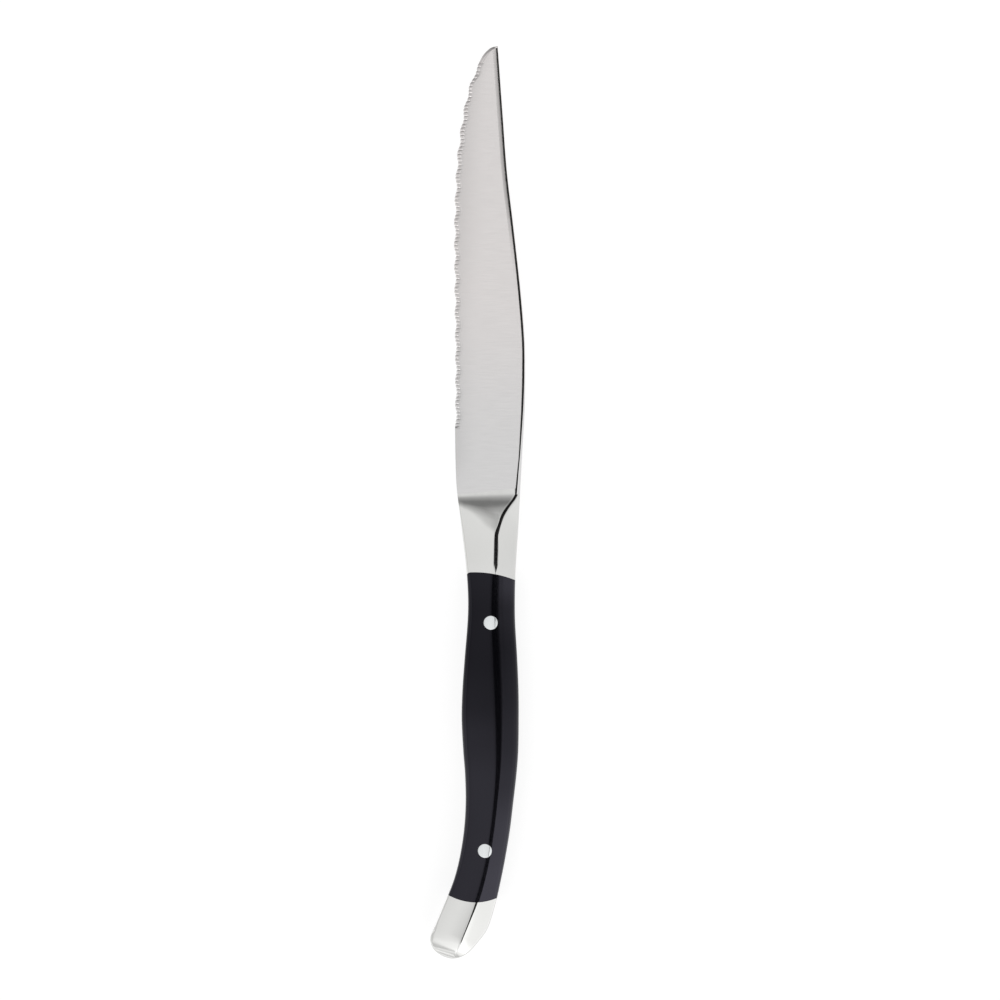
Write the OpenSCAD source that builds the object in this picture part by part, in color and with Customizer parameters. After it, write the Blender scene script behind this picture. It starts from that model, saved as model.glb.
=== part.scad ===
// Table steak knife: a serrated blade with a full tang, two bolster plates at each end of the
// grip, two black scales between them and two cutler's rivets.
// The knife lies flat: +Y points to the tip, -X to the cutting edge, +Z up. The left side of the
// knife, as it is held edge down with the tip ahead, faces up.
// The drawing below is made about a datum point where the blade leaves the bolster, and the whole
// knife is then moved so that the middle of its underside is the origin.

/* [Blade] */
// Length of the blade from the bolster to the tip
blade_l = 116.5; // [95:0.5:140]
// Width of the blade from the tips of the teeth to the top of the spine
blade_w = 18.4; // [16:0.2:21]
// How far the middle of the blade lies to the edge side of the datum line
blade_shift = 0.4; // [0:0.1:1]
// Thickness of the steel at the spine and along the tang
steel_t = 2; // [1.6:0.1:2.6]
// Thickness left along the ground edge
edge_t = 0.3; // [0.2:0.05:0.5]
// Length over which the point is thinned
point_l = 42; // [25:1:60]
// Amount taken off each face by the end of the point
point_relief = 0.25; // [0.1:0.05:0.3]
// Width of the bevel along the spine
spine_bevel_w = 0.55; // [0.3:0.05:0.8]
// Width of that bevel where it runs into the bolster
spine_bevel_root_w = 0.8; // [0.5:0.05:1.1]
// Slope of the spine bevel in degrees
spine_bevel_angle = 26; // [18:1:35]
// Width of the plain bevel round the point
point_bevel_w = 0.6; // [0.3:0.05:0.9]

/* [Teeth] */
// Plain heel between the bolster and the first scallop
heel_l = 18.4; // [10:0.2:30]
// Plain edge left at the point
plain_point_l = 4.2; // [3:0.2:12]
// Length of one scallop
scallop_pitch = 5.86; // [4:0.02:8]
// Depth of one scallop
scallop_depth = 0.45; // [0.2:0.05:0.8]
// Fine teeth in each scallop
teeth_per_scallop = 6; // [4:1:8]
// Depth of one fine tooth
tooth_depth = 0.16; // [0.05:0.01:0.25]
// Angle at which the teeth are ground into the left face, in degrees
tooth_angle = 18; // [14:1:26]

/* [Grip] */
// Length of the grip from the blade to the butt
grip_l = 118.6; // [105:0.2:130]
// Width of the grip at its swell
grip_w = 14.7; // [13:0.1:17]
// Height of one scale above the tang at the swell
side_t = 4.1; // [3.4:0.1:5]
// Width of the flat along the ridge of the bolsters and scales
ridge_w = 0.9; // [0.4:0.1:1.4]

/* [Bolsters] */
// Length of the front bolster on the datum line
front_bolster_l = 19.1; // [17.5:0.1:22]
// Length of the rear bolster plates
rear_bolster_l = 14.7; // [12:0.1:17]
// Radius of the arc that ends the front bolster
front_joint_r = 27.3; // [22:0.1:40]
// How far the centre of that arc lies to the edge side of the datum line
front_joint_shift = 4.1; // [0:0.1:8]
// Radius of the arc that starts the rear bolster
rear_joint_r = 15; // [12:0.1:30]
// How far the centre of that arc lies to the edge side of the datum line
rear_joint_shift = 3.9; // [2:0.1:6]
// Length of the ramp that rises from the blade to the ridge
ramp_l = 9.7; // [7:0.1:12]
// Turn of the foot of the ramp across the blade, in degrees
ramp_turn = 6; // [0:0.5:10]
// Length of the rounded end of the butt
butt_round_l = 5; // [3:0.1:7]
// Drop of the surface at the rounded end of the butt
butt_round_drop = 2.2; // [1:0.1:2.4]
// Gap between each scale and the bolsters
scale_gap = 0.03; // [0.01:0.01:0.1]

/* [Rivets] */
// Distance of each rivet from the joint between its scale and the nearer bolster
rivet_inset = 13; // [8:0.1:20]
// How far the rivets lie from the ridge towards the edge side
rivet_shift = 1.05; // [0:0.05:2]
// Diameter of a rivet head
rivet_head_d = 3.75; // [3.4:0.05:4.5]
// Outside diameter of the hollow half
rivet_tube_d = 2.6; // [2.2:0.05:3]
// Diameter of the solid half's post
rivet_post_d = 1.5; // [1:0.05:1.8]
// Thickness of scale left under a rivet head
rivet_ledge = 1.8; // [1.2:0.1:2.1]
// Gap between the end of a rivet half and the other half's head
rivet_end_gap = 0.3; // [0.1:0.05:0.6]
// Radial clearance of a rivet in its holes
rivet_clearance = 0.02; // [0.01:0.01:0.06]

/* [Dowels] */
// Diameter of the dowels that locate the bolster plates
dowel_d = 1.6; // [1.2:0.1:2]
// Depth of a dowel's blind hole in a bolster plate
dowel_depth = 1.3; // [0.8:0.1:1.5]
// Gap left at the bottom of a dowel's hole
dowel_end_gap = 0.1; // [0.05:0.05:0.2]
// Radial clearance of a dowel in its holes
dowel_clearance = 0.01; // [0.01:0.01:0.05]
// Distance of the first front dowel from the blade
front_dowel_at = 8.8; // [7.5:0.1:10]
// Distance from the first front dowel to the second
front_dowel_step = 5.4; // [4:0.1:6.5]
// Distance from the rear joint to the first rear dowel
rear_dowel_at = 3.6; // [2.5:0.1:4.5]
// Distance from the first rear dowel to the second
rear_dowel_step = 4.4; // [3:0.1:5]

/* [Hidden] */

steel_colour = "lightgray";
bolster_colour = "gainsboro";
scale_colour = "#1c1c20";
rivet_colour = "whitesmoke";

// How far a cutting solid runs past what it cuts
overrun = 1;
// How far the ramp and the butt round clear the ridge where they leave it
crest_rise = 0.05;
round_fn = 64;
blade_steps = 44;
grip_steps = 46;
ramp_steps = 8;
butt_steps = 5;
tooth_steps = 4;
point_steps = 9;

// Shape of the grip: distance from the blade, edge side, spine side and ridge. The first is a
// share of the grip's length, and the others are shares of its width, counted from the datum line.
grip_plan_shares = [
    [0,    -0.582, 0.505, 0.102],
    [0.07, -0.510, 0.476, 0.099],
    [0.16, -0.427, 0.431, 0.080],
    [0.22, -0.401, 0.419, 0.063],
    [0.27, -0.411, 0.424, 0.065],
    [0.35, -0.463, 0.461, 0.095],
    [0.42, -0.502, 0.484, 0.121],
    [0.48, -0.514, 0.487, 0.133],
    [0.55, -0.486, 0.478, 0.132],
    [0.60, -0.455, 0.447, 0.115],
    [0.66, -0.444, 0.392, 0.073],
    [0.72, -0.473, 0.333, 0.017],
    [0.78, -0.548, 0.253, -0.058],
    [0.83, -0.652, 0.173, -0.148],
    [0.88, -0.811, 0.080, -0.270],
    [0.93, -0.980, -0.045, -0.430],
    [1,    -1.220, -0.300, -0.660],
];
// The same for the round of the butt, from the edge side to the spine side
butt_plan_shares = [
    [0.957, -1.066],
    [0.984, -0.975],
    [1,     -0.720],
    [0.990, -0.440],
    [0.957, -0.186],
];
// The side rows that lead into the round of the butt and out of it
butt_row = 15;
// Height above the tang along the grip: distance from the blade as a share of its length, then the
// ridge, edge side and spine side as shares of the height of a scale
grip_height_shares = [
    [0,    0.64, 0.02, -0.09],
    [0.08, 0.67, 0.135, 0.11],
    [0.16, 0.78, 0.34, 0.33],
    [0.27, 0.90, 0.49, 0.475],
    [0.48, 1,    0.56, 0.56],
    [0.72, 0.94, 0.525, 0.51],
    [0.88, 0.89, 0.50, 0.49],
    [1,    0.83, 0.465, 0.465],
];
// Line of the spine, and of the tips of the teeth, from heel to tip: shares of the blade's length
// and of its width
spine_shares = [
    [0.10, 0.959], [0.20, 0.994], [0.285, 1], [0.35, 0.992], [0.46, 0.935],
    [0.60, 0.837], [0.72, 0.748], [0.85, 0.686], [1, 0.617],
];
edge_shares = [
    [0.06, 0.030], [0.15, 0.018], [0.30, 0.017], [0.50, 0.003], [0.60, 0], [0.68, 0.014],
    [0.75, 0.038], [0.82, 0.092], [0.87, 0.148], [0.912, 0.216], [0.945, 0.295], [0.966, 0.362],
    [0.98, 0.413], [0.992, 0.484], [0.998, 0.548], [1, 0.617],
];

half_steel = steel_t / 2;
edge_line = -blade_shift - blade_w / 2;
grip_t = steel_t + 2 * side_t;
face_slope = (steel_t - edge_t) / 2 / blade_w;
point_from = blade_l - point_l;
point_slope = point_relief / point_l;
bevel_slope = tan(spine_bevel_angle);
scallops = floor((blade_l - heel_l - plain_point_l) / scallop_pitch);
serration_end = heel_l + scallops * scallop_pitch;
rear_joint_at = grip_l - rear_bolster_l;
front_rivet_at = front_bolster_l + rivet_inset;
rear_rivet_at = rear_joint_at - rivet_inset;

// Slope of column c of a table at row i
function slope_at(rows, c, i) =
    let (a = max(i - 1, 0), b = min(i + 1, len(rows) - 1))
    (rows[b][c] - rows[a][c]) / (rows[b][0] - rows[a][0]);
function row_before(rows, q, i = 0) =
    i >= len(rows) - 2 || q < rows[i + 1][0] ? i : row_before(rows, q, i + 1);
// Column c of a table at place q of its first column, on a smooth curve through the rows
function track(rows, c, q) =
    let (
        i = row_before(rows, q),
        gap = rows[i + 1][0] - rows[i][0],
        t = (q - rows[i][0]) / gap,
        m0 = slope_at(rows, c, i) * gap,
        m1 = slope_at(rows, c, i + 1) * gap
    )
    (2 * pow(t, 3) - 3 * pow(t, 2) + 1) * rows[i][c]
    + (pow(t, 3) - 2 * pow(t, 2) + t) * m0
    + (3 * pow(t, 2) - 2 * pow(t, 3)) * rows[i + 1][c]
    + (pow(t, 3) - pow(t, 2)) * m1;
// Smooth curve through points, from the second to the last but one
function curve(p, steps) = [
    for (i = [1:len(p) - 3], k = [0:steps - 1])
        let (t = k / steps)
        (2 * p[i] + (p[i + 1] - p[i - 1]) * t
            + (2 * p[i - 1] - 5 * p[i] + 4 * p[i + 1] - p[i + 2]) * pow(t, 2)
            + (3 * p[i] - p[i - 1] - 3 * p[i + 1] + p[i + 2]) * pow(t, 3)) / 2,
    p[len(p) - 2]
];

// Places across the grip at a distance d back from the blade
function belly_x(d) = grip_w * track(grip_plan_shares, 1, d / grip_l);
function back_x(d) = grip_w * track(grip_plan_shares, 2, d / grip_l);
function ridge_x(d) = grip_w * track(grip_plan_shares, 3, d / grip_l);
// Heights above the middle of the steel there
function ridge_z(d) = half_steel + side_t * track(grip_height_shares, 1, d / grip_l);
function belly_z(d) = half_steel + side_t * track(grip_height_shares, 2, d / grip_l);
function back_z(d) = half_steel + side_t * track(grip_height_shares, 3, d / grip_l);

// The blade's two long lines, with their first rows on the grip
spine_rows = concat([[0, back_x(0)]],
    [for (s = spine_shares) [s[0] * blade_l, edge_line + s[1] * blade_w]]);
edge_rows = concat([[0, belly_x(0)]],
    [for (s = edge_shares) [s[0] * blade_l, edge_line + s[1] * blade_w]]);
function spine_x(y) = track(spine_rows, 1, y);
function edge_x(y) = track(edge_rows, 1, y);

// Half the thickness of the ground blade at a place on its face
function face_z(x, y) =
    edge_t / 2 + face_slope * (x - edge_line) - point_slope * max(y - point_from, 0);

// Share of the way along the blade, closer together towards the tip
function blade_share(k) = sin(90 * k / blade_steps);
function grip_share(k) = butt_share * k / grip_steps;
butt_share = grip_plan_shares[butt_row][0];

// Outline of the steel, tip to butt along the spine and back along the edge
function butt_point(s) = [grip_w * s[1], -grip_l * s[0]];
butt_curve = curve(concat(
    [for (i = [butt_row - 1, butt_row])
        butt_point([grip_plan_shares[i][0], grip_plan_shares[i][2]])],
    [for (i = [len(butt_plan_shares) - 1:-1:0]) butt_point(butt_plan_shares[i])],
    [for (i = [butt_row, butt_row - 1])
        butt_point([grip_plan_shares[i][0], grip_plan_shares[i][1]])]), butt_steps);
outline = concat(
    [for (k = [blade_steps:-1:1]) let (y = blade_l * blade_share(k)) [spine_x(y), y]],
    [for (k = [0:grip_steps - 1]) let (d = grip_l * grip_share(k)) [back_x(d), -d]],
    butt_curve,
    [for (k = [grip_steps - 1:-1:0]) let (d = grip_l * grip_share(k)) [belly_x(d), -d]],
    [for (k = [1:blade_steps - 1]) let (y = blade_l * blade_share(k)) [edge_x(y), y]]);

xs = [for (p = outline) p[0]];
middle = [(max(xs) + min(xs)) / 2, (blade_l - grip_l) / 2];

// Solid whose surface joins a list of rings, each with the same number of points
module loft(rings) {
    n = len(rings[0]);
    last = len(rings) - 1;
    polyhedron(
        points = [for (ring = rings) each ring],
        faces = concat(
            [[for (j = [0:n - 1]) j]],
            [for (i = [0:last - 1], j = [0:n - 1])
                let (a = i * n + j, b = i * n + (j + 1) % n)
                each [[a, a + n, b], [b, a + n, b + n]]],
            [[for (j = [n - 1:-1:0]) last * n + j]]));
}

// One side of the grip before it is trimmed to its outline: two facets that meet in a narrow flat
function roof_ring(d) =
    let (
        l = belly_x(d), r = back_x(d),
        cl = ridge_x(d) - ridge_w / 2, cr = ridge_x(d) + ridge_w / 2,
        z = ridge_z(d),
        fall_l = (z - belly_z(d)) / (cl - l),
        fall_r = (z - back_z(d)) / (r - cr)
    )
    [
        [r + overrun, -d, 0],
        [r + overrun, -d, back_z(d) - fall_r * overrun],
        [cr, -d, z],
        [cl, -d, z],
        [l - overrun, -d, belly_z(d) - fall_l * overrun],
        [l - overrun, -d, 0],
    ];
module roof() {
    loft([for (k = [-1:grip_steps + 1]) roof_ring(grip_l * k / grip_steps)]);
}

// Space under an arc that falls away in +Y from a crest at the origin, and all space behind it
module arc_end(l, drop) {
    r = (pow(l, 2) + pow(drop, 2)) / (2 * drop);
    wide = 2 * grip_w;
    union() {
        translate([-wide, -grip_l, -r])
            cube([2 * wide, grip_l, 2 * r]);
        translate([-wide, 0, -r])
            rotate([0, 90, 0])
                cylinder(r = r, h = 2 * wide, $fn = round_fn);
    }
}
ramp_crest_z = ridge_z(ramp_l) + crest_rise;
module ramp() {
    translate([back_x(0), 0, ramp_crest_z])
        rotate([0, 0, ramp_turn])
            translate([0, -ramp_l, 0])
                arc_end(ramp_l, ramp_crest_z - half_steel);
}
// Direction of the grip's middle line at the butt, in degrees from -Y
butt_turn = atan2(-(ridge_x(grip_l) - ridge_x(rear_joint_at)), rear_bolster_l);
butt_crest_d = grip_l - butt_round_l;
butt_crest_z = ridge_z(butt_crest_d) + crest_rise;
module butt_round() {
    translate([ridge_x(butt_crest_d), -butt_crest_d, butt_crest_z])
        rotate([0, 0, 180 - butt_turn])
            arc_end(butt_round_l, butt_round_drop);
}

module steel_plan() {
    polygon(outline);
}
// The stretches of the plan that the front and rear bolsters take, with a gap to the scales
module front_plan(gap) {
    difference() {
        translate([-2 * grip_w, -front_bolster_l - front_joint_r])
            square([4 * grip_w, blade_l + grip_l]);
        translate([-front_joint_shift, -front_bolster_l - front_joint_r])
            circle(r = front_joint_r + gap, $fn = 2 * round_fn);
    }
}
module rear_plan(gap) {
    difference() {
        translate([-2 * grip_w, -grip_l - grip_w])
            square([4 * grip_w, rear_bolster_l + grip_w + rear_joint_r]);
        translate([-rear_joint_shift, -rear_joint_at + rear_joint_r])
            circle(r = rear_joint_r + gap, $fn = 2 * round_fn);
    }
}

// One side of the grip above the tang
module side() {
    intersection() {
        roof();
        translate([0, 0, half_steel])
            linear_extrude(2 * side_t)
                steel_plan();
    }
}

// Where the rivets and dowels stand: each at a distance from the blade, beside the ridge
function rivet_place(d) = [ridge_x(d) - rivet_shift, -d];
front_dowels = [front_dowel_at, front_dowel_at + front_dowel_step];
rear_dowels = [rear_joint_at + rear_dowel_at, rear_joint_at + rear_dowel_at + rear_dowel_step];
module at_rivet(d) {
    translate(rivet_place(d)) children();
}
module at_dowel(d) {
    translate([ridge_x(d), -d]) children();
}
module dowel(d) {
    color(steel_colour)
        at_dowel(d)
            cylinder(
                r = dowel_d / 2, h = steel_t + 2 * (dowel_depth - dowel_end_gap),
                center = true, $fn = round_fn);
}
module dowel_holes(places) {
    for (d = places)
        at_dowel(d)
            cylinder(
                r = dowel_d / 2 + dowel_clearance, h = steel_t + 2 * dowel_depth,
                center = true, $fn = round_fn);
}

head_seat_z = half_steel + rivet_ledge;
module rivet_hole() {
    translate([0, 0, -overrun - side_t])
        cylinder(r = rivet_tube_d / 2 + rivet_clearance, h = grip_t + overrun, $fn = round_fn);
    translate([0, 0, head_seat_z])
        cylinder(r = rivet_head_d / 2 + rivet_clearance, h = side_t, $fn = round_fn);
}

// The part of one side's surface that a rivet head is ground flush with
module rivet_head(d) {
    intersection() {
        roof();
        at_rivet(d)
            translate([0, 0, head_seat_z])
                cylinder(r = rivet_head_d / 2, h = side_t, $fn = round_fn);
    }
}
module rivet_tube(d) {
    color(rivet_colour)
        difference() {
            union() {
                rivet_head(d);
                at_rivet(d)
                    translate([0, 0, rivet_end_gap - head_seat_z])
                        cylinder(r = rivet_tube_d / 2, h = 2 * head_seat_z, $fn = round_fn);
            }
            at_rivet(d)
                translate([0, 0, -head_seat_z])
                    cylinder(r = rivet_post_d / 2, h = 2 * head_seat_z, $fn = round_fn);
        }
}
module rivet_post(d) {
    color(rivet_colour)
        union() {
            mirror([0, 0, 1]) rivet_head(d);
            at_rivet(d)
                translate([0, 0, -head_seat_z - rivet_end_gap])
                    cylinder(r = rivet_post_d / 2, h = 2 * head_seat_z, $fn = round_fn);
        }
}

module front_bolster() {
    color(bolster_colour)
        difference() {
            intersection() {
                side();
                ramp();
                linear_extrude(grip_t) front_plan(0);
            }
            dowel_holes(front_dowels);
        }
}
module rear_bolster() {
    color(bolster_colour)
        difference() {
            intersection() {
                side();
                butt_round();
                linear_extrude(grip_t) rear_plan(0);
            }
            dowel_holes(rear_dowels);
        }
}
module scale() {
    color(scale_colour)
        difference() {
            side();
            translate([0, 0, -overrun])
                linear_extrude(grip_t + overrun) {
                    front_plan(-scale_gap);
                    rear_plan(-scale_gap);
                }
            for (d = [front_rivet_at, rear_rivet_at]) at_rivet(d) rivet_hole();
        }
}

// Waste above one face of the blade, as far back as the ramp
module face_waste() {
    tilt = atan(face_slope);
    difference() {
        union() {
            translate([edge_line, -grip_w, edge_t / 2])
                rotate([0, -tilt, 0])
                    translate([-blade_w, 0, 0])
                        cube([3 * blade_w, blade_l + 2 * grip_w, side_t]);
            translate([edge_line, point_from, edge_t / 2])
                rotate([-atan(point_slope), 0, 0])
                    rotate([0, -tilt, 0])
                        translate([-blade_w, 0, 0])
                            cube([3 * blade_w, blade_l, side_t]);
        }
        ramp();
    }
}

// Waste along one corner of the spine, above a line that climbs from the outline at a height z
function corner_ring(x, y, z) =
    let (up = half_steel + overrun - z)
    [
        [x + overrun, y, z - overrun * bevel_slope],
        [x + overrun, y, z + up],
        [x - up / bevel_slope, y, z + up],
    ];
spine_bevel_rows = [
    [0, spine_bevel_root_w],
    [heel_l, spine_bevel_w],
    [blade_l, spine_bevel_w],
];
function spine_rim_z(y) =
    face_z(spine_x(y), y) - bevel_slope * track(spine_bevel_rows, 1, y);
module spine_waste() {
    loft(concat(
        [for (k = [blade_steps:-1:1])
            let (y = blade_l * blade_share(k) + (k == blade_steps ? overrun : 0))
            corner_ring(spine_x(y), y, spine_rim_z(y))],
        [for (k = [0:ramp_steps])
            let (d = ramp_l * k / ramp_steps)
            corner_ring(back_x(d), -d, back_z(d))]));
}

// Waste round the plain point, swept along the edge with a bevel that is square to it
module point_waste() {
    steep = face_z(edge_x(serration_end), serration_end) / point_bevel_w;
    plain_l = blade_l - serration_end;
    step = plain_l / pow(point_steps, 2);
    loft([for (k = [-1:point_steps])
        let (
            y = serration_end + plain_l * sin(90 * k / point_steps),
            x = edge_x(y),
            along = k == point_steps ? [1, 0] : [edge_x(y + step) - x, step],
            out = [-along[1], along[0]] / norm(along),
            up = half_steel + overrun
        )
        [
            [x + out[0] * overrun, y + out[1] * overrun, -overrun * steep],
            [x + out[0] * overrun, y + out[1] * overrun, up],
            [x - out[0] * up / steep, y - out[1] * up / steep, up],
        ]]);
}

// Place of the ground edge in the serrated length: scallops, each with its fine teeth
function hollow(t) = 4 * t * (1 - t);
function serrated_x(y) =
    let (
        s = (y - heel_l) / scallop_pitch,
        t = s - floor(s),
        f = t * teeth_per_scallop
    )
    edge_x(y) + scallop_depth * hollow(t) + tooth_depth * hollow(f - floor(f));
// Height of the ground bevel where it crosses the line x = 0, measured square to the bevel
function bevel_h(y) =
    let (x = serrated_x(y))
    -face_z(x, y) * cos(tooth_angle) - x * sin(tooth_angle);
module tooth_waste() {
    n = scallops * teeth_per_scallop * tooth_steps;
    reach = 2 * blade_w;
    rotate([0, -tooth_angle, 0])
        translate([-reach, 0, 0])
            rotate([90, 0, 90])
                linear_extrude(2 * reach)
                    polygon(concat(
                        [for (k = [0:n])
                            let (y = heel_l + (serration_end - heel_l) * k / n)
                            [y, bevel_h(y)]],
                        [[serration_end, blade_w], [heel_l, blade_w]]));
}

module blade() {
    color(steel_colour)
        difference() {
            translate([0, 0, -half_steel])
                linear_extrude(steel_t)
                    steel_plan();
            for (m = [0, 1]) mirror([0, 0, m]) {
                face_waste();
                spine_waste();
            }
            point_waste();
            tooth_waste();
            for (d = [front_rivet_at, rear_rivet_at]) at_rivet(d) rivet_hole();
            dowel_holes(concat(front_dowels, rear_dowels));
        }
}

module placed() {
    translate([-middle[0], -middle[1], grip_t / 2]) children();
}
module right_side() {
    placed() mirror([0, 0, 1]) children();
}

placed() blade();
placed() front_bolster();  // front_bolster_left
right_side() front_bolster();  // front_bolster_right
placed() scale();  // scale_left
right_side() scale();  // scale_right
placed() rear_bolster();  // rear_bolster_left
right_side() rear_bolster();  // rear_bolster_right
placed() rivet_tube(front_rivet_at);  // front_rivet_tube
placed() rivet_post(front_rivet_at);  // front_rivet_post
placed() rivet_tube(rear_rivet_at);  // rear_rivet_tube
placed() rivet_post(rear_rivet_at);  // rear_rivet_post
placed() dowel(front_dowels[0]);  // front_dowel_1
placed() dowel(front_dowels[1]);  // front_dowel_2
placed() dowel(rear_dowels[0]);  // rear_dowel_1
placed() dowel(rear_dowels[1]);  // rear_dowel_2
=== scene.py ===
# Table steak knife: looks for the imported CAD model, in the same frame, in metres.
import math

import bmesh
import bpy
import numpy as np
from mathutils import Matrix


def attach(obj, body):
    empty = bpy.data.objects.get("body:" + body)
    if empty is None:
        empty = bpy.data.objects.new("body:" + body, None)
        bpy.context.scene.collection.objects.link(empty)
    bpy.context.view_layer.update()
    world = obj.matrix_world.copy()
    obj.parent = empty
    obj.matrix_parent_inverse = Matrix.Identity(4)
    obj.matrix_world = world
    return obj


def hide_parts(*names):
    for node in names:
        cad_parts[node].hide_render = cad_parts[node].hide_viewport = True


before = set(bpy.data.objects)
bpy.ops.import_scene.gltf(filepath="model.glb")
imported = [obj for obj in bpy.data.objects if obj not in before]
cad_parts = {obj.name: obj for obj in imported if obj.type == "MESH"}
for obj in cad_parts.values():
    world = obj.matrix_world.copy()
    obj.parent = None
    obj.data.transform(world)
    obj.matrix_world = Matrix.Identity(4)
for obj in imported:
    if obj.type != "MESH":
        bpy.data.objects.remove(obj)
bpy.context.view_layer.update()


# Camera
# The photograph looks straight down on the knife's left side, tip up and cutting edge to the
# left. A long lens shows the raised handle at nearly the same scale as the blade, as there.
# VIEW_WIDTH is what the picture spans at LOOKED_AT, the point in its middle.
VIEW_WIDTH = 0.2578
LOOKED_AT = (0.005754, 0.000534, 0.0051)
LENS = 180
SENSOR = 36
FARTHEST = 20
camera = bpy.data.objects.new("camera", bpy.data.cameras.new("camera"))
camera.data.lens = LENS
camera.data.sensor_width = SENSOR
camera.data.clip_end = FARTHEST
camera.location = (LOOKED_AT[0], LOOKED_AT[1], LOOKED_AT[2] + VIEW_WIDTH * LENS / SENSOR)
bpy.context.scene.collection.objects.link(camera)
bpy.context.scene.camera = camera
bpy.context.scene.view_settings.view_transform = "Standard"


# Floor and light
# A plain pale table top under a soft white studio. What the camera and the polished steel see of
# the table is lifted to white, and the knife's own shadow stays on it.
def linear(code):
    """Linear colour of an sRGB hex code, with alpha 1."""
    parts = [int(code[i:i + 2], 16) / 255 for i in (1, 3, 5)]
    return [c / 12.92 if c <= 0.04045 else ((c + 0.055) / 1.055) ** 2.4 for c in parts] + [1]


def add(tree, kind, inputs=(), **settings):
    """Adds a node with its settings. Its inputs are given in order, or in a dict by name or
    number: each is a value, an output, or a node, which stands for its first output."""
    made = tree.nodes.new("ShaderNode" + kind)
    for name, value in settings.items():
        setattr(made, name, value)
    for name, value in inputs.items() if isinstance(inputs, dict) else enumerate(inputs):
        if isinstance(value, bpy.types.Node):
            value = value.outputs[0]
        if isinstance(value, bpy.types.NodeSocket):
            tree.links.new(value, made.inputs[name])
        else:
            made.inputs[name].default_value = value
    return made


def new_material(name):
    """A material with its node tree and its Principled shader."""
    made = bpy.data.materials.new(name)
    made.use_nodes = True
    return made, made.node_tree, made.node_tree.nodes["Principled BSDF"]


FLOOR_HALF, FLOOR_Z = 3, -0.00005
floor_mesh = bpy.data.meshes.new("floor")
floor_mesh.from_pydata(
    [(FLOOR_HALF * i, FLOOR_HALF * j, FLOOR_Z) for i, j in ((-1, -1), (1, -1), (1, 1), (-1, 1))],
    [], [(0, 1, 2, 3)])
floor = bpy.data.objects.new("floor", floor_mesh)
bpy.context.scene.collection.objects.link(floor)

# Matt laminate: even and without gloss, so that nothing but the soft shadow of the knife shows
floor_look, tree, shader = new_material("white laminate table top")
shader.inputs["Base Color"].default_value = linear("#f0f0f0")
shader.inputs["Roughness"].default_value = 0.7
shader.inputs["Specular IOR Level"].default_value = 0.0
path = add(tree, "LightPath")
mirrored = add(tree, "Math", (
    path.outputs["Is Glossy Ray"], path.outputs["Is Transmission Ray"]), operation="MAXIMUM")
seen = add(tree, "Math", (path.outputs["Is Camera Ray"], mirrored), operation="MAXIMUM")
plain = add(tree, "BsdfDiffuse", {"Color": linear("#949494")})
glow = add(tree, "Emission", {"Color": linear("#ffffff"), "Strength": 0.82})
lifted = add(tree, "AddShader", (plain, glow))
mixed = add(tree, "MixShader", (seen, shader, lifted))
tree.links.new(mixed.outputs[0], tree.nodes["Material Output"].inputs["Surface"])
floor_mesh.materials.append(floor_look)


def table_of(tree, value, rows, scale, low=-90.0, high=90.0, shape="EASE"):
    """Node that reads a table of (place, result) rows, for places from low to high and results
    up to scale."""
    ramp = add(tree, "ValToRGB", (add(tree, "MapRange", (value, low, high)),))
    ramp.color_ramp.interpolation = shape
    dots = ramp.color_ramp.elements
    while len(dots) < len(rows):
        dots.new(0.5)
    for dot, (place, _) in zip(dots, rows):
        dot.position = (place - low) / (high - low)
    for dot, (_, result) in zip(dots, rows):
        dot.color = (result / scale, result / scale, result / scale, 1)
    return add(tree, "Math", (ramp, scale), operation="MULTIPLY")


# The studio by direction, in degrees from straight up: across the knife, where plus is to the
# spine, and along it, where plus is to the tip. Rows are a direction and how bright it is there.
ACROSS_LEVELS = [
    (-88, 0.75), (-78, 1.15), (-57, 1.4), (-47, 0.77), (-35.5, 0.77), (-31.5, 0.95), (-24, 1.0),
    (-15, 0.78), (-8.4, 0.64), (-5.7, 0.95), (14, 0.95), (20, 1.25), (24, 1.2), (27, 1.1),
    (30, 0.98), (38, 0.94), (48, 0.94), (60, 1.0), (74, 0.95), (88, 0.65)]
ALONG_LEVELS = [
    (-80, 0.75), (-64, 1.0), (-56, 1.3), (-48, 1.55), (-25, 1.25), (-8, 1.05), (0, 1.0),
    (15.5, 0.92), (25, 0.80), (35, 0.68), (45.6, 0.53), (56, 0.35), (72, 0.25)]
# The most that a table can say, the least height of a direction, and how black the black is
BRIGHTEST = 2.0
LOWEST_UP = 0.02
DARKNESS = 0.985

world = bpy.data.worlds.new("studio")
bpy.context.scene.world = world
world.use_nodes = True
tree = world.node_tree
way = add(tree, "SeparateXYZ", (add(tree, "TexCoord").outputs["Generated"],))
up = add(tree, "Math", (way.outputs["Z"], LOWEST_UP), operation="MAXIMUM")
across = add(tree, "Math", (
    add(tree, "Math", (way.outputs["X"], up), operation="ARCTAN2"), 180 / math.pi),
    operation="MULTIPLY")
along = add(tree, "Math", (
    add(tree, "Math", (way.outputs["Y"], up), operation="ARCTAN2"), 180 / math.pi),
    operation="MULTIPLY")

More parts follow.
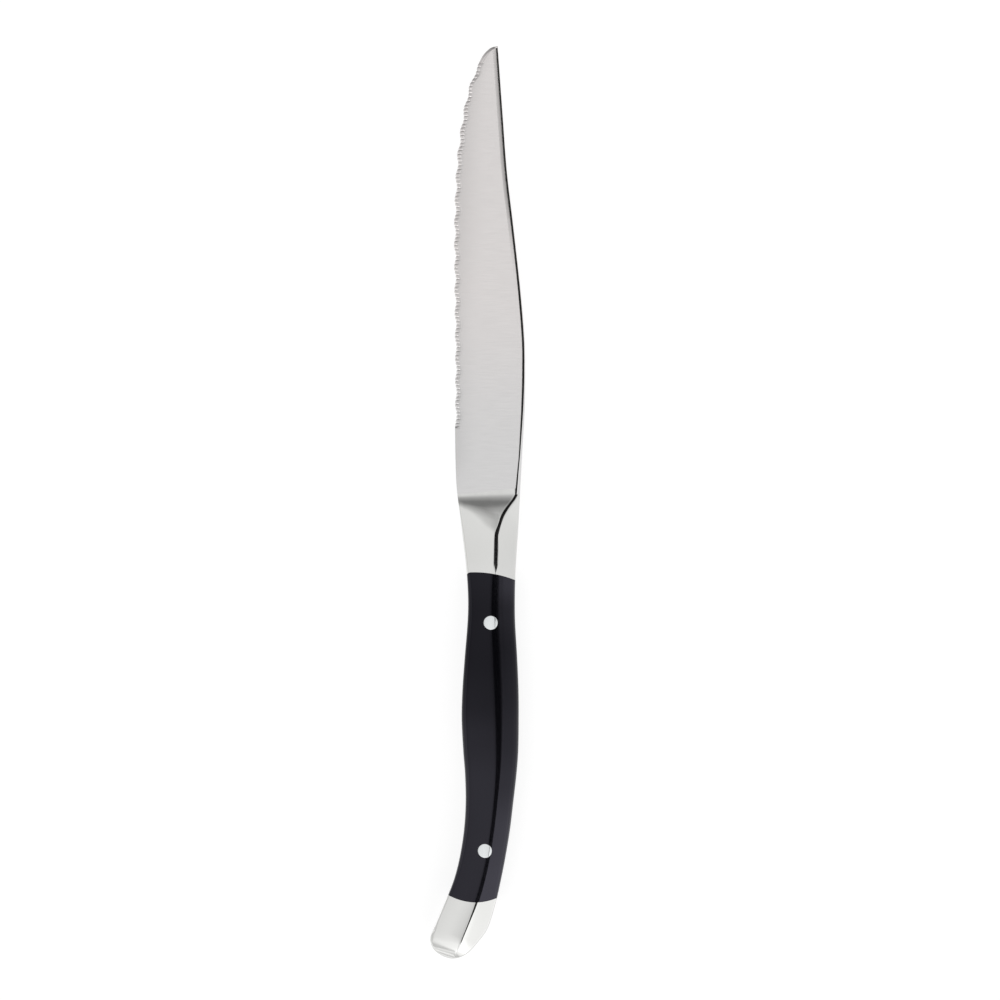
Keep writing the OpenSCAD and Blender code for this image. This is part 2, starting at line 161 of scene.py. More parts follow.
# Far to the edge side the sky behind the butt is held to about the level of straight up, unless
# it is low. Far to the spine side the sky isn't dimmed ahead of the tip.
held_down = add(tree, "Math", (
    add(tree, "MapRange", (across, -36, -31.5, 0.94, 1.6), interpolation_type="SMOOTHSTEP"),
    add(tree, "MapRange", (along, -52, -42, 1.6, 0), interpolation_type="SMOOTHSTEP")),
    operation="MAXIMUM")
along_level = add(tree, "Math", (
    held_down, table_of(tree, along, ALONG_LEVELS, BRIGHTEST)), operation="MINIMUM")
along_level = add(tree, "Math", (
    add(tree, "MapRange", (across, 46, 54), interpolation_type="SMOOTHSTEP"), along_level),
    operation="MAXIMUM")
bright = add(tree, "Math", (
    table_of(tree, across, ACROSS_LEVELS, BRIGHTEST), along_level), operation="MULTIPLY")

# Black from straight up, where the camera hangs, over to the spine side, and farther to that
# side ahead of the tip, where its border on the edge side also moves a little to the spine
border = add(tree, "Math", (across, add(
    tree, "MapRange", (along, 5, 14, 0, -4.5), interpolation_type="SMOOTHSTEP")),
    operation="ADD")
from_border = add(tree, "MapRange", (border, -3.2, -1.4), interpolation_type="SMOOTHSTEP")
camera_dark = add(tree, "Math", (
    add(tree, "MapRange", (across, 15, 21, 1, 0), interpolation_type="SMOOTHSTEP"),
    add(tree, "MapRange", (along, -30, -18), interpolation_type="SMOOTHSTEP")),
    operation="MULTIPLY")
ahead_dark = add(tree, "Math", (
    add(tree, "MapRange", (across, 33, 41, 1, 0), interpolation_type="SMOOTHSTEP"),
    add(tree, "MapRange", (along, 2.5, 7), interpolation_type="SMOOTHSTEP")),
    operation="MULTIPLY")
dark = add(tree, "Math", (from_border, add(
    tree, "Math", (camera_dark, ahead_dark), operation="MAXIMUM")), operation="MULTIPLY")
left_over = add(tree, "Math", (1.0, add(
    tree, "Math", (dark, DARKNESS), operation="MULTIPLY")), operation="SUBTRACT")
level = add(tree, "Math", (bright, left_over), operation="MULTIPLY")
tree.links.new(level.outputs[0], tree.nodes["Background"].inputs["Strength"])
tree.nodes["Background"].inputs["Color"].default_value = linear("#ffffff")


# Blade
# One piece of stainless steel from the point to the butt, ground on both faces to a thin edge,
# with fine teeth in shallow scallops ground into the left face. The tang fills the whole handle.
MM = 0.001
# The drawing's sizes are in mm from where the blade leaves the bolster: x to the spine, y to the
# tip and z up from the middle of the steel. ORIGIN is the place of the shared origin in it.
ORIGIN = (-3.43472, -1.05, -5.1)
# Half the thickness of the steel, the blade's length, width and middle line, and the grip's
# length and width
STEEL_HALF = 1.0
BLADE_L, BLADE_W, BLADE_X = 116.5, 18.4, -0.4
GRIP_L, GRIP_W = 118.6, 14.7
# The ground faces: thickness at the cutting edge, and what the point loses on each face
EDGE_LINE = BLADE_X - BLADE_W / 2
EDGE_T = 0.34
FACE_SLOPE = (2 * STEEL_HALF - EDGE_T) / 2 / BLADE_W
POINT_L, POINT_RELIEF = 42.0, 0.25
# Distance from the blade as a share of the grip's length, then the edge side, the spine side and
# the ridge as shares of its width
GRIP_PLAN = [
    [0, -0.582, 0.505, 0.102], [0.07, -0.510, 0.476, 0.099], [0.16, -0.427, 0.431, 0.080],
    [0.22, -0.401, 0.419, 0.063], [0.27, -0.411, 0.424, 0.065], [0.35, -0.463, 0.461, 0.095],
    [0.42, -0.502, 0.484, 0.121], [0.48, -0.514, 0.487, 0.133], [0.55, -0.486, 0.478, 0.132],
    [0.60, -0.455, 0.447, 0.115], [0.66, -0.444, 0.392, 0.073], [0.72, -0.473, 0.333, 0.017],
    [0.78, -0.548, 0.253, -0.058], [0.83, -0.652, 0.173, -0.148], [0.88, -0.811, 0.080, -0.270],
    [0.93, -0.980, -0.045, -0.430], [1, -1.220, -0.300, -0.660]]
BELLY, BACK, RIDGE = 1, 2, 3
# The round of the butt in the same shares, and the row of the grip where it starts
BUTT_PLAN = [[0.957, -1.066], [0.984, -0.975], [1, -0.720], [0.990, -0.440], [0.957, -0.186]]
BUTT_ROW = 15
# Distance along the blade as a share of its length, then the line as a share of its width
SPINE = [[0.10, 0.959], [0.20, 0.994], [0.285, 1], [0.35, 0.992], [0.46, 0.935],
         [0.60, 0.837], [0.72, 0.748], [0.85, 0.686], [1, 0.617]]
EDGE = [[0.06, 0.030], [0.15, 0.018], [0.30, 0.017], [0.50, 0.003], [0.60, 0], [0.68, 0.014],
        [0.75, 0.038], [0.82, 0.092], [0.87, 0.148], [0.912, 0.216], [0.945, 0.295],
        [0.966, 0.362], [0.98, 0.413], [0.992, 0.484], [0.998, 0.548], [1, 0.617]]


def track(rows, column, place):
    """Column of a table at a place of its first column, on a smooth curve through the rows."""
    rows = np.asarray(rows, float)
    place = np.asarray(place, float)
    n = len(rows)
    before, after = np.maximum(np.arange(n) - 1, 0), np.minimum(np.arange(n) + 1, n - 1)
    slope = (rows[after, column] - rows[before, column]) / (rows[after, 0] - rows[before, 0])
    i = np.clip(np.searchsorted(rows[:, 0], place, side="right") - 1, 0, n - 2)
    gap = rows[i + 1, 0] - rows[i, 0]
    t = (place - rows[i, 0]) / gap
    return ((2 * t**3 - 3 * t**2 + 1) * rows[i, column] + (t**3 - 2 * t**2 + t) * slope[i] * gap
            + (3 * t**2 - 2 * t**3) * rows[i + 1, column] + (t**3 - t**2) * slope[i + 1] * gap)


def grip_x(line, d):
    """Place across the grip of one of its long lines, at a distance d from the blade."""
    return GRIP_W * track(GRIP_PLAN, line, d / GRIP_L)


spine_rows = [[0, float(grip_x(BACK, 0))]] + [
    [y * BLADE_L, EDGE_LINE + s * BLADE_W] for y, s in SPINE]
edge_rows = [[0, float(grip_x(BELLY, 0))]] + [
    [y * BLADE_L, EDGE_LINE + s * BLADE_W] for y, s in EDGE]


def spine_x(y):
    """Line of the spine."""
    return track(spine_rows, 1, y)


def edge_x(y):
    """Line of the cutting edge before its scallops."""
    return track(edge_rows, 1, y)


def face_z(x, y):
    """Half the thickness of the ground blade."""
    return (EDGE_T / 2 + FACE_SLOPE * (x - EDGE_LINE)
            - POINT_RELIEF / POINT_L * np.maximum(y - (BLADE_L - POINT_L), 0))


def least(a, b, reach):
    """The smaller of a and b, with the corner rounded over where they differ by up to reach."""
    h = np.maximum(reach - np.abs(a - b), 0)
    return np.minimum(a, b) - h * h / (4 * np.maximum(reach, 1e-9))


def ease(t):
    """Smooth step from 0 to 1."""
    t = np.clip(t, 0, 1)
    return t * t * (3 - 2 * t)


# Points of neighbouring grids closer than this, in metres, are one point
WELD = 4e-7


def mesh_piece(name, sheets, material, sharp_turn=28):
    """An object whose skin is made of grids of points, in drawing mm, joined where they meet.
    Its faces are shaded smooth, apart from edges that turn by more than sharp_turn degrees."""
    made = bmesh.new()
    for sheet in sheets:
        sheet = np.asarray(sheet, float)
        rows, cols = sheet.shape[:2]
        verts = [made.verts.new(p) for p in (sheet.reshape(-1, 3) - ORIGIN) * MM]
        for i in range(rows - 1):
            for j in range(cols - 1):
                a, b = i * cols + j, (i + 1) * cols + j
                made.faces.new((verts[a], verts[b], verts[b + 1], verts[a + 1]))
    bmesh.ops.remove_doubles(made, verts=made.verts, dist=WELD)
    bmesh.ops.recalc_face_normals(made, faces=made.faces)
    for face in made.faces:
        face.smooth = True
    mesh = bpy.data.meshes.new(name)
    made.to_mesh(mesh)
    made.free()
    mesh.set_sharp_from_angle(angle=math.radians(sharp_turn))
    mesh.materials.append(material)
    piece = bpy.data.objects.new(name, mesh)
    bpy.context.scene.collection.objects.link(piece)
    return piece


def lift(plan, z):
    """Grid of plan points with heights."""
    return np.concatenate([plan, np.asarray(z, float)[..., None]], -1)


def closed(top, low, steps=3):
    """Sheets of a closed solid between two grids of the same size, with walls round it."""
    def wall(a, b):
        """Grid from one edge to the other."""
        return np.stack([a + (b - a) * k / steps for k in range(steps + 1)])

    return [top, low, wall(top[0], low[0]), wall(top[-1], low[-1]),
            wall(top[:, 0], low[:, 0]), wall(top[:, -1], low[:, -1])]


def butt_curve(steps=24):
    """Round of the butt from the edge side to the spine side."""
    ends = [[GRIP_PLAN[BUTT_ROW - 1], GRIP_PLAN[BUTT_ROW]], GRIP_PLAN[BUTT_ROW:BUTT_ROW - 2:-1]]
    shares = ([[r[0], r[BELLY]] for r in ends[0]] + BUTT_PLAN + [[r[0], r[BACK]] for r in ends[1]])
    p = np.array([[GRIP_W * x, -GRIP_L * d] for d, x in shares])
    out = []
    for i in range(1, len(p) - 2):
        for t in np.arange(steps) / steps:
            out.append((2 * p[i] + (p[i + 1] - p[i - 1]) * t
                        + (2 * p[i - 1] - 5 * p[i] + 4 * p[i + 1] - p[i + 2]) * t**2
                        + (3 * p[i] - p[i - 1] - 3 * p[i + 1] + p[i + 2]) * t**3) / 2)
    return np.array(out + [p[-2]])


def grip_columns(edge=1.3, ridge=1.6, edge_n=10, face_n=9, ridge_n=13):
    """Columns across the grip: shares of the belly, ridge and back lines, and an offset. They
    lie close together within edge of both outlines and within ridge of the ridge."""
    out = []
    for t in edge * (1 - np.cos(np.linspace(0, math.pi / 2, edge_n, endpoint=False))):
        out.append([1, 0, 0, t])
    for s in np.linspace(0, 1, face_n, endpoint=False):
        out.append([1 - s, s, 0, (1 - s) * edge - s * ridge])
    for t in np.linspace(-1, 1, 2 * ridge_n + 1)[:-1]:
        out.append([0, 1, 0, ridge * t * (0.4 + 0.6 * abs(t))])
    for s in np.linspace(0, 1, face_n, endpoint=False):
        out.append([0, 1 - s, s, (1 - s) * ridge - s * edge])
    for t in edge * (1 - np.cos(np.linspace(math.pi / 2, 0, edge_n + 1))):
        out.append([0, 0, 1, -t])
    return np.array(out)


COLUMNS = grip_columns()


def columns_x(d):
    """x of every column, each at its own distance d from the blade."""
    c = COLUMNS
    on, back_by = np.maximum(-d, 0), np.maximum(d, 0)
    belly = np.where(d < 0, edge_x(on), grip_x(BELLY, back_by))
    back = np.where(d < 0, spine_x(on), grip_x(BACK, back_by))
    return c[:, 0] * belly + c[:, 1] * grip_x(RIDGE, back_by) + c[:, 2] * back + c[:, 3]


# Rounds after which lines that depend on each other's x have settled
ROUNDS = 25
FOOT_TURN = math.radians(6)
REAR_ARC_R, REAR_ARC_X, REAR_ARC_D = 15.0, -3.9, 88.9


def foot(x):
    """Distance from the blade of the line where the bolster's ramp leaves the steel."""
    return (float(grip_x(BACK, 0)) - x) * math.tan(FOOT_TURN)


def rear_joint(x):
    """Distance from the blade of the arc where the rear bolster starts."""
    return REAR_ARC_D + np.sqrt(REAR_ARC_R**2 - (x - REAR_ARC_X) ** 2)


def plan_between(near, far, shares):
    """Plan grid of the grip from one line across it to another."""
    d = np.zeros((len(shares), len(COLUMNS)))
    x = columns_x(d)
    for _ in range(ROUNDS):
        a, b = near(x), far(x)
        d = a + (b - a) * shares[:, None]
        x = columns_x(d)
    return np.stack([x, -d], -1)


# Where the ridge meets the round of the butt, as a share of the way along it
RIDGE_TURN = 0.56


def plan_butt(near, shares):
    """Plan grid from a line across the grip to the round of the butt."""
    far = butt_curve()
    run = np.concatenate([[0], np.cumsum(np.linalg.norm(np.diff(far, axis=0), axis=1))])
    ends = plan_between(near, lambda x: np.full_like(x, GRIP_PLAN[BUTT_ROW][0] * GRIP_L), shares)
    first, left, right = ends[0], ends[:, 0], ends[:, -1]
    u = (first[:, 0] - first[0, 0]) / (first[-1, 0] - first[0, 0])
    u_ridge = u[len(u) // 2]
    turn = u + (RIDGE_TURN - u_ridge) / (u_ridge * (1 - u_ridge)) * u * (1 - u)
    last = np.stack([np.interp(turn * run[-1], run, far[:, k]) for k in (0, 1)], -1)
    u, v = u[None, :, None], shares[:, None, None]
    return ((1 - v) * first[None] + v * last[None]
            + (1 - u) * left[:, None] + u * right[:, None]
            - (1 - u) * (1 - v) * first[0] - u * (1 - v) * first[-1]
            - (1 - u) * v * last[0] - u * v * last[-1])


def crowd(length, near=(0, 0.02, 0.05, 0.09, 0.16, 0.3), step=0.5, far=None):
    """Shares along a length in mm: close together at both ends, and step apart between."""
    near, far = np.array(near, float), np.array(near if far is None else far, float)
    n = max(int(round((length - near[-1] - far[-1]) / step)), 2)
    middle = np.linspace(near[-1], length - far[-1], n + 1)[1:-1]
    return np.concatenate([near, middle, length - far[::-1]]) / length


# A plain heel, then scallops of six fine teeth each, a little deeper further up. The grooves
# between the teeth are GROOVE_W wide each way and notch the cutting edge. What grows toward the
# point does so from UP_FROM, over UP_OVER.
HEEL_L = 18.4
SCALLOP, SCALLOPS = 5.86, 16
SCALLOP_DEPTH, SCALLOP_GAIN = 0.4, 0.1
SCALLOP_UP_FROM, UP_FROM, UP_OVER = 35, 40, 40
TOOTH = SCALLOP / 6
TEETH_END = HEEL_L + SCALLOP * SCALLOPS
GROOVE_W, GROOVE_DEPTH, NOTCH = 0.23, 0.26, 0.15


def groove(y):
    """Depth of the ground grooves between the fine teeth, as a share: V-shaped and narrow."""
    away = np.abs((y - HEEL_L) / TOOTH - np.round((y - HEEL_L) / TOOTH)) * TOOTH
    return np.clip(1 - away / GROOVE_W, 0, 1)


def serrated_x(y):
    """Line of the cutting edge: shallow rounded scallops with a small notch at every groove."""
    t = np.clip((y - HEEL_L) / SCALLOP, 0, SCALLOPS)
    depth = SCALLOP_DEPTH + SCALLOP_GAIN * ease((y - SCALLOP_UP_FROM) / UP_OVER)
    return (edge_x(y) + depth * (1 - np.cos(2 * math.pi * t)) / 2
            + NOTCH * groove(y) * (t > 0) * (t < SCALLOPS))


# Rows of points along the blade: close by the bolster, on the grooves and at the very point
CLOSE_L, HEEL_ROWS, POINT_ROWS = 4, 40, 61
PAST_GROOVE, ON_TOOTH = [0, 0.08, 0.16, 0.24], [0.37, 0.49, 0.61]
BEFORE_GROOVE = [0.24, 0.16, 0.08]


def blade_rows():
    """Places along the blade: every fine tooth has ten rows, and the point has its own."""
    heel = np.concatenate([np.linspace(0, CLOSE_L, HEEL_ROWS, endpoint=False),
                           np.linspace(CLOSE_L, HEEL_L, HEEL_ROWS, endpoint=False)])
    steps = np.concatenate([PAST_GROOVE, ON_TOOTH, TOOTH - np.array(BEFORE_GROOVE)])
    teeth = HEEL_L + TOOTH * np.arange(round((TEETH_END - HEEL_L) / TOOTH))[:, None] + steps
    turn = np.linspace(0, math.pi / 2, POINT_ROWS)
    point = TEETH_END + (BLADE_L - TEETH_END) * np.sin(turn)
    return np.concatenate([heel, teeth.ravel(), point])


# Distance along the blade, then the widths there of the light strip along the spine, in which
# the spine-side facet of the bolster runs out, and of the dark line beside it
STRIP = [[0, 0.78, 0.35], [2, 0.72, 0.33], [6.6, 0.62, 0.28], [9.8, 0.52, 0.22],
         [12.8, 0.43, 0.27], [18.9, 0.37, 0.38], [25, 0.28, 0.46], [33, 0.12, 0.50],
         [50, 0.05, 0.48], [80, 0.05, 0.27], [116.5, 0.05, 0.24]]
STRIP_SLOPE, LINE_SLOPE = math.tan(math.radians(19)), math.tan(math.radians(4.5))
LINE_SHARE = 0.3
SPINE_ROUND = 0.1
# Reach of the small round where two ground surfaces meet
GROUND_BLEND = 0.03
# What the belt leaves: a hollow by the edge, with its width, its lean and the length over which
# it starts, and a roll-off by the spine, with its width, fall and curve
HOLLOW_W, HOLLOW_W_GAIN, HOLLOW_SHARE = 6.0, 3.0, 0.6
HOLLOW_LEAN, HOLLOW_LEAN_GAIN, HOLLOW_START_L = 0.013, 0.0045, 12
ROLL_W, ROLL_FALL, ROLL_CURVE = 1.45, 0.0192, 0.0044


def steel_top(x, y):
    """Height of the ground face: hollow by the edge, with two strips along the spine."""
    on = np.clip(y, 0, BLADE_L)
    first, spine = edge_x(on), spine_x(on)
    width = np.maximum(spine - first, 0.01)
    upper = ease((y - UP_FROM) / UP_OVER)

    def belted(x):
        """The face as the belt leaves it: hollow by the edge, and rolled off up by the spine."""
        hollow = np.minimum(HOLLOW_W + HOLLOW_W_GAIN * upper, HOLLOW_SHARE * width)
        lean = (HOLLOW_LEAN + HOLLOW_LEAN_GAIN * upper) * ease(y / HOLLOW_START_L)
        roll = np.clip(x - spine + ROLL_W, 0, 2) * upper
        return (face_z(x, y) - ROLL_FALL * roll - ROLL_CURVE * roll**2
                + lean * hollow / 2 * (1 - np.clip(1 - (x - first) / hollow, 0, 1.1) ** 2))

    # Along the spine: a dark line that leans a little, then a light strip down to the corner
    strip = track(STRIP, 1, on)
    line = np.minimum(track(STRIP, 2, on), width * LINE_SHARE)
    inner = spine - strip - line
    line_z = belted(inner) - (x - inner) * LINE_SLOPE
    strip_z = belted(inner) - line * LINE_SLOPE - (x - (spine - strip)) * STRIP_SLOPE
    top = least(least(belted(x), line_z, GROUND_BLEND), strip_z, GROUND_BLEND)
    past = np.clip(1 - (spine - x) / SPINE_ROUND, 0, 1)
    return top - SPINE_ROUND * (1 - np.sqrt(1 - past**2))


# Slope of the teeth's bevel in degrees, and what it gains near the point, from TURN_FROM over
# TURN_OVER. Its columns are shares of its width, with the crease where it meets the flat at 1.
BEVEL_TURN, BEVEL_TURN_GAIN = 18.5, 4
TURN_FROM, TURN_OVER = 92, 15
BEVEL_SHARES = [0, 0.2, 0.4, 0.6, 0.8, 0.92, 0.97, 1, 1.03, 1.08, 1.16]
FIRST_GUESS, GUESSES = 1.2, 12
# The rim by the spine has columns of its own, which crowd toward its start
RIM_W, RIM_COLUMNS, RIM_CROWD = 1.9, 22, 0.8
# Neither the bevel nor the rim is wider than this share of the blade
WIDEST_SHARE = 0.4
# Rows by the bolster: they share the grip's columns over SHARED_L and lean over LEANING_L
SHARED_L, LEANING_L = 6, 14
# Length of the grooves across the blade, and what the last LAST_L mm of teeth lose of it. At
# both ends of the teeth the grooves start over GROOVE_START_L.
GROOVE_L, GROOVE_L_LOSS, LAST_L = 1.2, 0.5, 14
GROOVE_START_L = 0.2
# How fast a groove deepens into the flat, and its share of depth in the bevel
FLAT_DEEPENS, BEVEL_DEPTH_SHARE = 1.6, 0.6
# The thinnest steel at a groove, and at the plain point the bevel's slope and how far it is in
THIN = 0.02
POINT_SLOPE, POINT_BACK = math.tan(math.radians(31)), 0.04


def blade_faces():
    """Plan and heights of both faces of the blade."""
    y0 = blade_rows()
    n = len(COLUMNS)
    first, spine = edge_x(y0)[:, None], spine_x(y0)[:, None]
    edge = serrated_x(y0)[:, None]
    width = spine - edge

    # Columns: the bevel of the teeth, the flat, and the lines along the spine
    on_bevel = len(BEVEL_SHARES)
    cut = np.concatenate([BEVEL_SHARES, np.full(n - on_bevel, BEVEL_SHARES[-1])])
    flat = np.concatenate([np.zeros(on_bevel - 1),
                           np.linspace(0, 1, n - on_bevel + 1 - RIM_COLUMNS),
                           np.ones(RIM_COLUMNS)])
    corner = np.concatenate([np.zeros(n - RIM_COLUMNS - 1),
                             np.linspace(0, 1, RIM_COLUMNS + 1) ** RIM_CROWD])

    # The crease where the bevel meets the flat lies where the two have the same height
    turn = BEVEL_TURN + BEVEL_TURN_GAIN * ease((y0 - TURN_FROM) / TURN_OVER)
    slope = np.tan(np.radians(turn))[:, None]
    bevel = np.full_like(edge, FIRST_GUESS)
    for _ in range(GUESSES):
        bevel = (steel_top(edge + bevel, y0[:, None]) + steel_top(edge, y0[:, None])) / slope
    bevel = np.minimum(bevel, width * WIDEST_SHARE)
    rim = np.minimum(RIM_W, width * WIDEST_SHARE)
    own = edge + bevel * cut + (width - BEVEL_SHARES[-1] * bevel - rim) * flat + rim * corner

    # The first rows lean with the foot of the ramp and share the columns of the grip
    share = ease(y0 / SHARED_L)[:, None]
    y = np.repeat(y0[:, None], n, 1)
    for _ in range(ROUNDS):
        x = columns_x(-y) * (1 - share) + own * share
        y = y0[:, None] - foot(x) * (1 - ease(y0 / LEANING_L))[:, None]
    both = steel_top(x, y)

    # Teeth on the left face only: a bevel from the right face's edge, and the grooves in it
    toothed = ((y0 >= HEEL_L) & (y0 <= TEETH_END))[:, None]
    lowest = steel_top(edge, y)
    away = x - edge
    cuts = groove(y0)[:, None]
    long = GROOVE_L - GROOVE_L_LOSS * ease((y0 - TEETH_END + LAST_L) / LAST_L)[:, None]
    fade = np.clip(long - away, 0, long) / long
    ground = -lowest + (away + NOTCH * cuts * (1 - fade)) * slope
    up = np.where(toothed, least(both, ground, GROUND_BLEND), both)
    to_end = np.minimum(y0 - HEEL_L, TEETH_END - y0)
    cuts = cuts * np.clip(to_end / GROOVE_START_L, 0, 1)[:, None]
    grooved = np.minimum(both - GROOVE_DEPTH * np.minimum(1, fade * FLAT_DEEPENS) * cuts,
                         up - BEVEL_DEPTH_SHARE * GROOVE_DEPTH * fade * cuts)
    up = np.where(toothed, np.maximum(grooved, -lowest + THIN), up)

    # Plain point, with its own narrow bevel
    pointed = (y0 >= TEETH_END)[:, None]
    lean = np.clip(np.gradient(edge_x(y0), y0), 0, 30)[:, None]
    off = (x - first) / np.sqrt(1 + lean**2)
    up = np.where(pointed, least(up, off * POINT_SLOPE - POINT_BACK, GROUND_BLEND), up)
    return np.stack([x, y], -1), up, -both


SIDE_T, RIDGE_W = 4.1, 0.9
# Distance from the blade as a share of the grip's length, then the heights above the steel of
# the ridge, the edge side and the spine side as shares of SIDE_T
GRIP_HEIGHT = [
    [0, 0.64, 0.02, -0.09], [0.08, 0.67, 0.135, 0.11], [0.16, 0.78, 0.34, 0.33],
    [0.27, 0.90, 0.49, 0.475], [0.48, 1, 0.56, 0.56], [0.72, 0.94, 0.525, 0.51],
    [0.88, 0.89, 0.50, 0.49], [1, 0.83, 0.465, 0.465]]


def height(column, d):
    """Height of one of the long lines of a side of the grip."""
    return STEEL_HALF + SIDE_T * track(GRIP_HEIGHT, column, d / GRIP_L)


def facets(x, y, bulge):
    """Heights of a side's edge-side facet and spine-side facet, each rounded across by bulge,
    and the height and the x of the ridge between them. Each facet would reach the ridge's height
    at half of RIDGE_W beside it."""
    d = np.clip(-y, 0, GRIP_L)
    ridge, z = grip_x(RIDGE, d), height(1, d)
    left, right = grip_x(BELLY, d), grip_x(BACK, d)
    zl, zr = height(2, d), height(3, d)
    run_l, run_r = ridge - RIDGE_W / 2 - left, right - ridge - RIDGE_W / 2
    t, u = (x - left) / run_l, (right - x) / run_r
    a = zl + t * (z - zl) + 4 * bulge * t * (1 - t)
    b = zr + u * (z - zr) + 4 * bulge * u * (1 - u)
    return a, b, z, ridge


# Length of the rear bolster, and how far the tang lies inside the front bolster's facet
REAR_L = 14.5
TANG_ROWS = 170
TANG_INSIDE = 0.12
# Height of the tang where it starts under the front bolster, and its rise per mm from there
TANG_START, TANG_RISE = 0.75, 0.35


def steel_sheets():
    """The whole steel: the tang from the butt to the ramp's foot in one grid with the blade."""
    tang = plan_between(foot, rear_joint, np.linspace(0, 1, TANG_ROWS))
    butt = plan_butt(rear_joint, crowd(REAR_L, near=(0, 0.3), far=(0, 0.08, 0.2, 0.4, 0.7)))
    plan = np.concatenate([butt[::-1], tang[::-1][1:]])
    x, y = plan[..., 0], plan[..., 1]
    # The tang stays inside the bolster's spine-side facet where that is lower than the steel,
    # and below the bolster's front where it starts
    level = np.minimum(STEEL_HALF, facets(x, y, 0.0)[1] - TANG_INSIDE)
    level = np.minimum(level, TANG_START - TANG_RISE * (y + foot(x)))
    ground, up, down = blade_faces()
    return closed(np.concatenate([lift(plan, level), lift(ground, up)]),
                  np.concatenate([lift(plan, -level), lift(ground, down)]))


# The span in which nearly all of the noise lies
NOISE_SPAN = (0.3, 0.7)


def grain(tree, across, along, detail=3.0):
    """Noise whose marks are about this wide and long, in mm, across and along the knife."""
    spread = add(tree, "VectorMath", (
        add(tree, "TexCoord").outputs["Object"],
        (1 / MM / across, 1 / MM / along, 1 / MM / across)), operation="MULTIPLY")
    return add(tree, "TexNoise", {"Vector": spread, "Scale": 1.0, "Detail": detail})


# Satin-ground stainless steel: the fine lines of the belt blur what the steel reflects, so the
# blade looks soft and evenly bright. The lower blade is painted a little darker and cooler than
# the upper one: painted shading along the blade.
blade_steel, tree, shader = new_material("satin-ground stainless steel")
shader.inputs["Metallic"].default_value = 1
place = add(tree, "SeparateXYZ", (add(tree, "TexCoord").outputs["Object"],))
# Painted shading: the base colour goes from a little darker and cooler by the bolster to lighter
# and warmer up the blade
upward = add(tree, "MapRange", (place.outputs["Y"], 0.008, 0.06), interpolation_type="SMOOTHSTEP")
tone = add(tree, "Mix", {0: upward, 6: linear("#dbdada"), 7: linear("#e3dfde")}, data_type="RGBA")
tree.links.new(tone.outputs[2], shader.inputs["Base Color"])
# Grinding lines straight across the blade: real ones are 0.03 mm apart, too fine to be seen
# here, so these are drawn 0.2 mm apart
lines = grain(tree, 5.0, 0.2)
gloss = add(tree, "MapRange", (lines, *NOISE_SPAN, 0.085, 0.115),
            interpolation_type="SMOOTHSTEP")
tree.links.new(gloss.outputs[0], shader.inputs["Roughness"])
bump = add(tree, "Bump", {"Height": lines, "Strength": 0.3, "Distance": 4e-7})
tree.links.new(bump.outputs[0], shader.inputs["Normal"])

blade = mesh_piece("blade", steel_sheets(), blade_steel)
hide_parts("blade")
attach(blade, "root")


# Front bolster plates
# Two plates of stainless steel on the sides of the tang, just behind the blade, each held by two
# hidden dowels. Each is milled to two facets with a scooped ramp in front, and then polished.
RAMP_L, RAMP_CREST, RAMP_AHEAD = 9.7, 3.8036, 0.27
FRONT_ARC_R, FRONT_ARC_X, FRONT_ARC_D = 27.3, -4.1, 46.4
CORNER_R, CORNER_D = 1.0, 18.6
# The ramp's arc stops at this part of its radius. Its crest is lifted, over CREST_L, and behind
# the crest it rises clear of the facets.
ARC_PART = 0.97
CLEAR_RISE, CREST_RISE, CREST_L = 0.3, 0.3, 4.5
FRONT_L, LIP_L = 22, 2.6
LIP_IN = 0.02
# How far the thin front edge lies below the ground face, and the base of the lip below that
FEATHER, LIP_BASE, LEAST_T = 0.006, 0.05, 0.06
FRONT_ROUND, FRONT_BULGE = 0.35, 0.03
SPINE_SIDE_DROP = 0.09
# Reach of the round where the ramp meets the facet, which grows toward the blade, and where the
# ramp runs out into the ground face
RAMP_BLEND, BLEND_MIN, BLEND_FROM, BLEND_OVER = 1.2, 0.02, -11.6, 5.6
TOE_BLEND, TOE_DROP = 0.85, 0.004
# The flat along the ridge: its size, what it loses along the ramp and toward the scales, each
# from and over a length, and the taper that ends it
FLAT = 0.19
RAMP_LOSS, RAMP_LOSS_FROM, RAMP_LOSS_OVER = 0.085, -10.8, 4.5
REAR_LOSS, REAR_LOSS_FROM, REAR_LOSS_OVER = 0.03, 10, 8
TAPER_FROM, TAPER_OVER, TAPER_POWER = 16.9, 2.2, 1.4
FLAT_SHARE, FLAT_BLEND, RIDGE_BLEND = 0.55, 0.05, 0.01
SIDES = {"left": 1, "right": -1}


def front_joint(x):
    """Distance from the blade of the arc where the front bolster ends."""
    return FRONT_ARC_D - np.sqrt(FRONT_ARC_R**2 - (x - FRONT_ARC_X) ** 2)


def corner_gap(x):
    """Rounded corner of the scale at the cutting-edge side of the front joint."""
    t = np.clip(CORNER_R - (x - float(grip_x(BELLY, CORNER_D))), 0, CORNER_R)
    return CORNER_R - np.sqrt(CORNER_R**2 - t**2)


def most(a, b, reach):
    """The larger of a and b, rounded as least does."""
    return -least(-a, -b, reach)


def ramp_z(x, y):
    """Height of the scooped ramp: an arc that falls from its crest to the steel."""
    way = (-(x - float(grip_x(BACK, 0))) * math.sin(FOOT_TURN) + y * math.cos(FOOT_TURN)
           + RAMP_L - RAMP_AHEAD)
    drop = RAMP_CREST - STEEL_HALF
    r = (RAMP_L**2 + drop**2) / (2 * drop)
    on = np.clip(way, 0, r * ARC_PART)
    arc = RAMP_CREST - r + np.sqrt(r * r - on * on)
    return (arc + CLEAR_RISE * np.clip(-way, 0, None) ** 2
            + CREST_RISE * (1 - ease(way / CREST_L)))


